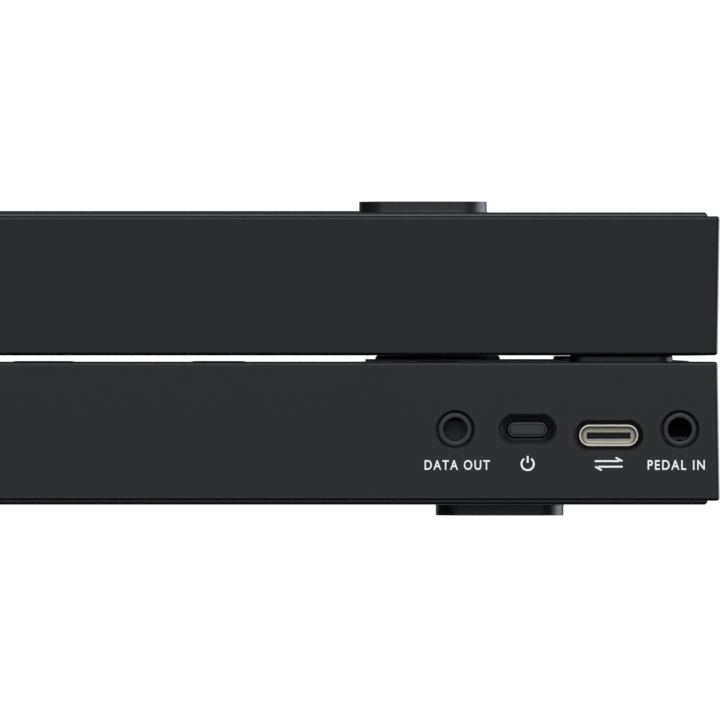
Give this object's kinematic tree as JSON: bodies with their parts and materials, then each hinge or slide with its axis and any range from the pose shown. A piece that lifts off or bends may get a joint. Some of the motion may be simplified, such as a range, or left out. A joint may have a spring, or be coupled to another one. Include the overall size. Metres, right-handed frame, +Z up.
{
  "type": "folding keyboard",
  "caption": "Portable keyboard that folds in half at a rear hinge: flat black slabs, full-size sprung keys inside, rear sockets and a power button.",
  "frame": {"origin": "centre of the folded object's footprint, on the surface that it stands on", "axes": "+X to the player's right and towards the fold hinge, +Y to the rear face with the sockets, +Z up"},
  "size_m": [0.2944, 0.195, 0.0474],
  "materials": {
    "case": "fine moulded texture, satin black",
    "cover": "fine moulded texture, dull black",
    "rubber": "matt black rubber",
    "white_key": "smooth off-white",
    "black_key": "matt black with a fine grain",
    "chassis": "moulded dark grey",
    "board": "green solder mask",
    "steel": "brushed",
    "nickel": "nickel plate, satin",
    "jack": "smooth moulded dark grey",
    "button": "smooth moulded dark grey",
    "knob": "knurled rim, spun top",
    "overlay": "smooth glossy black film",
    "battery": "blue shrink wrap over foil cells"
  },
  "bodies": {
    "left_half": {"left_case": "case", "left_base_cover": "cover", "left_feet": "rubber", "left_key_chassis": "chassis", "left_contact_board": "board", "main_board": "board", "battery_pack": "battery", "data_jack": "jack", "pedal_jack": "jack", "usb_socket": "nickel", "control_overlay": "overlay", "rear_bumper": "rubber", "front_bumper": "rubber", "hinge_left_leaf": "steel", "hinge_pin": "steel"},
    "right_half": {"right_case": "case", "right_base_cover": "cover", "right_feet": "rubber", "right_key_chassis": "chassis", "right_contact_board": "board", "hinge_right_leaf": "steel"},
    "control_knob": {"control_knob": "knob"},
    "power_button": {"power_button": "button"},
    "key_c3": {"key_c3": "white_key"},
    "key_cs3": {"key_cs3": "black_key"},
    "key_d3": {"key_d3": "white_key"},
    "key_ds3": {"key_ds3": "black_key"},
    "key_e3": {"key_e3": "white_key"},
    "key_f3": {"key_f3": "white_key"},
    "key_fs3": {"key_fs3": "black_key"},
    "key_g3": {"key_g3": "white_key"},
    "key_gs3": {"key_gs3": "black_key"},
    "key_a3": {"key_a3": "white_key"},
    "key_as3": {"key_as3": "black_key"},
    "key_b3": {"key_b3": "white_key"},
    "key_c4": {"key_c4": "white_key"},
    "key_cs4": {"key_cs4": "black_key"},
    "key_d4": {"key_d4": "white_key"},
    "key_ds4": {"key_ds4": "black_key"},
    "key_e4": {"key_e4": "white_key"},
    "key_f4": {"key_f4": "white_key"},
    "key_fs4": {"key_fs4": "black_key"},
    "key_g4": {"key_g4": "white_key"},
    "key_gs4": {"key_gs4": "black_key"},
    "key_a4": {"key_a4": "white_key"},
    "key_as4": {"key_as4": "black_key"},
    "key_b4": {"key_b4": "white_key"},
    "key_c5": {"key_c5": "white_key"},
    "key_cs5": {"key_cs5": "black_key"},
    "key_d5": {"key_d5": "white_key"},
    "key_ds5": {"key_ds5": "black_key"},
    "key_e5": {"key_e5": "white_key"},
    "key_f5": {"key_f5": "white_key"},
    "key_fs5": {"key_fs5": "black_key"},
    "key_g5": {"key_g5": "white_key"},
    "key_gs5": {"key_gs5": "black_key"},
    "key_a5": {"key_a5": "white_key"},
    "key_as5": {"key_as5": "black_key"},
    "key_b5": {"key_b5": "white_key"},
    "key_c6": {"key_c6": "white_key"}
  },
  "joints": [
    {"name": "fold", "type": "hinge", "parent": "left_half", "child": "right_half", "pos_m": [0.14525, 0.0725, 0.02371], "axis": [0, 1, 0], "range_deg": [0, 180]},
    {"name": "knob_turn", "type": "hinge", "parent": "left_half", "child": "control_knob", "pos_m": [-0.10495, 0.07, 0.02325], "axis": [0, 0, 1], "continuous": true},
    {"name": "power_press", "type": "slide", "parent": "left_half", "child": "power_button", "axis": [0, -1, 0], "range_m": [0, 0.0006], "stiffness_N_per_m": 800, "springref_m": -0.0006},
    {"name": "key_c3_press", "type": "hinge", "parent": "left_half", "child": "key_c3", "pos_m": [-0.0798, 0.07, 0.01], "axis": [1, 0, 0], "range_deg": [0, 1.6], "stiffness_Nm_per_rad": 2, "springref_deg": -2.01},
    {"name": "key_cs3_press", "type": "hinge", "parent": "left_half", "child": "key_cs3", "pos_m": [-0.07099, 0.07, 0.01], "axis": [1, 0, 0], "range_deg": [0, 1.6], "stiffness_Nm_per_rad": 2, "springref_deg": -2.01},
    {"name": "key_d3_press", "type": "hinge", "parent": "left_half", "child": "key_d3", "pos_m": [-0.0563, 0.07, 0.01], "axis": [1, 0, 0], "range_deg": [0, 1.6], "stiffness_Nm_per_rad": 2, "springref_deg": -2.01},
    {"name": "key_ds3_press", "type": "hinge", "parent": "left_half", "child": "key_ds3", "pos_m": [-0.04357, 0.07, 0.01], "axis": [1, 0, 0], "range_deg": [0, 1.6], "stiffness_Nm_per_rad": 2, "springref_deg": -2.01},
    {"name": "key_e3_press", "type": "hinge", "parent": "left_half", "child": "key_e3", "pos_m": [-0.0328, 0.07, 0.01], "axis": [1, 0, 0], "range_deg": [0, 1.6], "stiffness_Nm_per_rad": 2, "springref_deg": -2.01},
    {"name": "key_f3_press", "type": "hinge", "parent": "left_half", "child": "key_f3", "pos_m": [-0.0093, 0.07, 0.01], "axis": [1, 0, 0], "range_deg": [0, 1.6], "stiffness_Nm_per_rad": 2, "springref_deg": -2.01},
    {"name": "key_fs3_press", "type": "hinge", "parent": "left_half", "child": "key_fs3", "pos_m": [-0.00245, 0.07, 0.01], "axis": [1, 0, 0], "range_deg": [0, 1.6], "stiffness_Nm_per_rad": 2, "springref_deg": -2.01},
    {"name": "key_g3_press", "type": "hinge", "parent": "left_half", "child": "key_g3", "pos_m": [0.0142, 0.07, 0.01], "axis": [1, 0, 0], "range_deg": [0, 1.6], "stiffness_Nm_per_rad": 2, "springref_deg": -2.01},
    {"name": "key_gs3_press", "type": "hinge", "parent": "left_half", "child": "key_gs3", "pos_m": [0.02497, 0.07, 0.01], "axis": [1, 0, 0], "range_deg": [0, 1.6], "stiffness_Nm_per_rad": 2, "springref_deg": -2.01},
    {"name": "key_a3_press", "type": "hinge", "parent": "left_half", "child": "key_a3", "pos_m": [0.0377, 0.07, 0.01], "axis": [1, 0, 0], "range_deg": [0, 1.6], "stiffness_Nm_per_rad": 2, "springref_deg": -2.01},
    {"name": "key_as3_press", "type": "hinge", "parent": "left_half", "child": "key_as3", "pos_m": [0.05239, 0.07, 0.01], "axis": [1, 0, 0], "range_deg": [0, 1.6], "stiffness_Nm_per_rad": 2, "springref_deg": -2.01},
    {"name": "key_b3_press", "type": "hinge", "parent": "left_half", "child": "key_b3", "pos_m": [0.0612, 0.07, 0.01], "axis": [1, 0, 0], "range_deg": [0, 1.6], "stiffness_Nm_per_rad": 2, "springref_deg": -2.01},
    {"name": "key_c4_press", "type": "hinge", "parent": "left_half", "child": "key_c4", "pos_m": [0.0847, 0.07, 0.01], "axis": [1, 0, 0], "range_deg": [0, 1.6], "stiffness_Nm_per_rad": 2, "springref_deg": -2.01},
    {"name": "key_cs4_press", "type": "hinge", "parent": "left_half", "child": "key_cs4", "pos_m": [0.09351, 0.07, 0.01], "axis": [1, 0, 0], "range_deg": [0, 1.6], "stiffness_Nm_per_rad": 2, "springref_deg": -2.01},
    {"name": "key_d4_press", "type": "hinge", "parent": "left_half", "child": "key_d4", "pos_m": [0.1082, 0.07, 0.01], "axis": [1, 0, 0], "range_deg": [0, 1.6], "stiffness_Nm_per_rad": 2, "springref_deg": -2.01},
    {"name": "key_ds4_press", "type": "hinge", "parent": "left_half", "child": "key_ds4", "pos_m": [0.12093, 0.07, 0.01], "axis": [1, 0, 0], "range_deg": [0, 1.6], "stiffness_Nm_per_rad": 2, "springref_deg": -2.01},
    {"name": "key_e4_press", "type": "hinge", "parent": "left_half", "child": "key_e4", "pos_m": [0.1317, 0.07, 0.01], "axis": [1, 0, 0], "range_deg": [0, 1.6], "stiffness_Nm_per_rad": 2, "springref_deg": -2.01},
    {"name": "key_f4_press", "type": "hinge", "parent": "right_half", "child": "key_f4", "pos_m": [0.1317, 0.07, 0.03743], "axis": [-1, 0, 0], "range_deg": [0, 1.6], "stiffness_Nm_per_rad": 2, "springref_deg": -2.01},
    {"name": "key_fs4_press", "type": "hinge", "parent": "right_half", "child": "key_fs4", "pos_m": [0.12485, 0.07, 0.03743], "axis": [-1, 0, 0], "range_deg": [0, 1.6], "stiffness_Nm_per_rad": 2, "springref_deg": -2.01},
    {"name": "key_g4_press", "type": "hinge", "parent": "right_half", "child": "key_g4", "pos_m": [0.1082, 0.07, 0.03743], "axis": [-1, 0, 0], "range_deg": [0, 1.6], "stiffness_Nm_per_rad": 2, "springref_deg": -2.01},
    {"name": "key_gs4_press", "type": "hinge", "parent": "right_half", "child": "key_gs4", "pos_m": [0.09743, 0.07, 0.03743], "axis": [-1, 0, 0], "range_deg": [0, 1.6], "stiffness_Nm_per_rad": 2, "springref_deg": -2.01},
    {"name": "key_a4_press", "type": "hinge", "parent": "right_half", "child": "key_a4", "pos_m": [0.0847, 0.07, 0.03743], "axis": [-1, 0, 0], "range_deg": [0, 1.6], "stiffness_Nm_per_rad": 2, "springref_deg": -2.01},
    {"name": "key_as4_press", "type": "hinge", "parent": "right_half", "child": "key_as4", "pos_m": [0.07001, 0.07, 0.03743], "axis": [-1, 0, 0], "range_deg": [0, 1.6], "stiffness_Nm_per_rad": 2, "springref_deg": -2.01},
    {"name": "key_b4_press", "type": "hinge", "parent": "right_half", "child": "key_b4", "pos_m": [0.0612, 0.07, 0.03743], "axis": [-1, 0, 0], "range_deg": [0, 1.6], "stiffness_Nm_per_rad": 2, "springref_deg": -2.01},
    {"name": "key_c5_press", "type": "hinge", "parent": "right_half", "child": "key_c5", "pos_m": [0.0377, 0.07, 0.03743], "axis": [-1, 0, 0], "range_deg": [0, 1.6], "stiffness_Nm_per_rad": 2, "springref_deg": -2.01},
    {"name": "key_cs5_press", "type": "hinge", "parent": "right_half", "child": "key_cs5", "pos_m": [0.02889, 0.07, 0.03743], "axis": [-1, 0, 0], "range_deg": [0, 1.6], "stiffness_Nm_per_rad": 2, "springref_deg": -2.01},
    {"name": "key_d5_press", "type": "hinge", "parent": "right_half", "child": "key_d5", "pos_m": [0.0142, 0.07, 0.03743], "axis": [-1, 0, 0], "range_deg": [0, 1.6], "stiffness_Nm_per_rad": 2, "springref_deg": -2.01},
    {"name": "key_ds5_press", "type": "hinge", "parent": "right_half", "child": "key_ds5", "pos_m": [0.00147, 0.07, 0.03743], "axis": [-1, 0, 0], "range_deg": [0, 1.6], "stiffness_Nm_per_rad": 2, "springref_deg": -2.01},
    {"name": "key_e5_press", "type": "hinge", "parent": "right_half", "child": "key_e5", "pos_m": [-0.0093, 0.07, 0.03743], "axis": [-1, 0, 0], "range_deg": [0, 1.6], "stiffness_Nm_per_rad": 2, "springref_deg": -2.01},
    {"name": "key_f5_press", "type": "hinge", "parent": "right_half", "child": "key_f5", "pos_m": [-0.0328, 0.07, 0.03743], "axis": [-1, 0, 0], "range_deg": [0, 1.6], "stiffness_Nm_per_rad": 2, "springref_deg": -2.01},
    {"name": "key_fs5_press", "type": "hinge", "parent": "right_half", "child": "key_fs5", "pos_m": [-0.03965, 0.07, 0.03743], "axis": [-1, 0, 0], "range_deg": [0, 1.6], "stiffness_Nm_per_rad": 2, "springref_deg": -2.01},
    {"name": "key_g5_press", "type": "hinge", "parent": "right_half", "child": "key_g5", "pos_m": [-0.0563, 0.07, 0.03743], "axis": [-1, 0, 0], "range_deg": [0, 1.6], "stiffness_Nm_per_rad": 2, "springref_deg": -2.01},
    {"name": "key_gs5_press", "type": "hinge", "parent": "right_half", "child": "key_gs5", "pos_m": [-0.06707, 0.07, 0.03743], "axis": [-1, 0, 0], "range_deg": [0, 1.6], "stiffness_Nm_per_rad": 2, "springref_deg": -2.01},
    {"name": "key_a5_press", "type": "hinge", "parent": "right_half", "child": "key_a5", "pos_m": [-0.0798, 0.07, 0.03743], "axis": [-1, 0, 0], "range_deg": [0, 1.6], "stiffness_Nm_per_rad": 2, "springref_deg": -2.01},
    {"name": "key_as5_press", "type": "hinge", "parent": "right_half", "child": "key_as5", "pos_m": [-0.09449, 0.07, 0.03743], "axis": [-1, 0, 0], "range_deg": [0, 1.6], "stiffness_Nm_per_rad": 2, "springref_deg": -2.01},
    {"name": "key_b5_press", "type": "hinge", "parent": "right_half", "child": "key_b5", "pos_m": [-0.1033, 0.07, 0.03743], "axis": [-1, 0, 0], "range_deg": [0, 1.6], "stiffness_Nm_per_rad": 2, "springref_deg": -2.01},
    {"name": "key_c6_press", "type": "hinge", "parent": "right_half", "child": "key_c6", "pos_m": [-0.1268, 0.07, 0.03743], "axis": [-1, 0, 0], "range_deg": [0, 1.6], "stiffness_Nm_per_rad": 2, "springref_deg": -2.01}
  ]
}
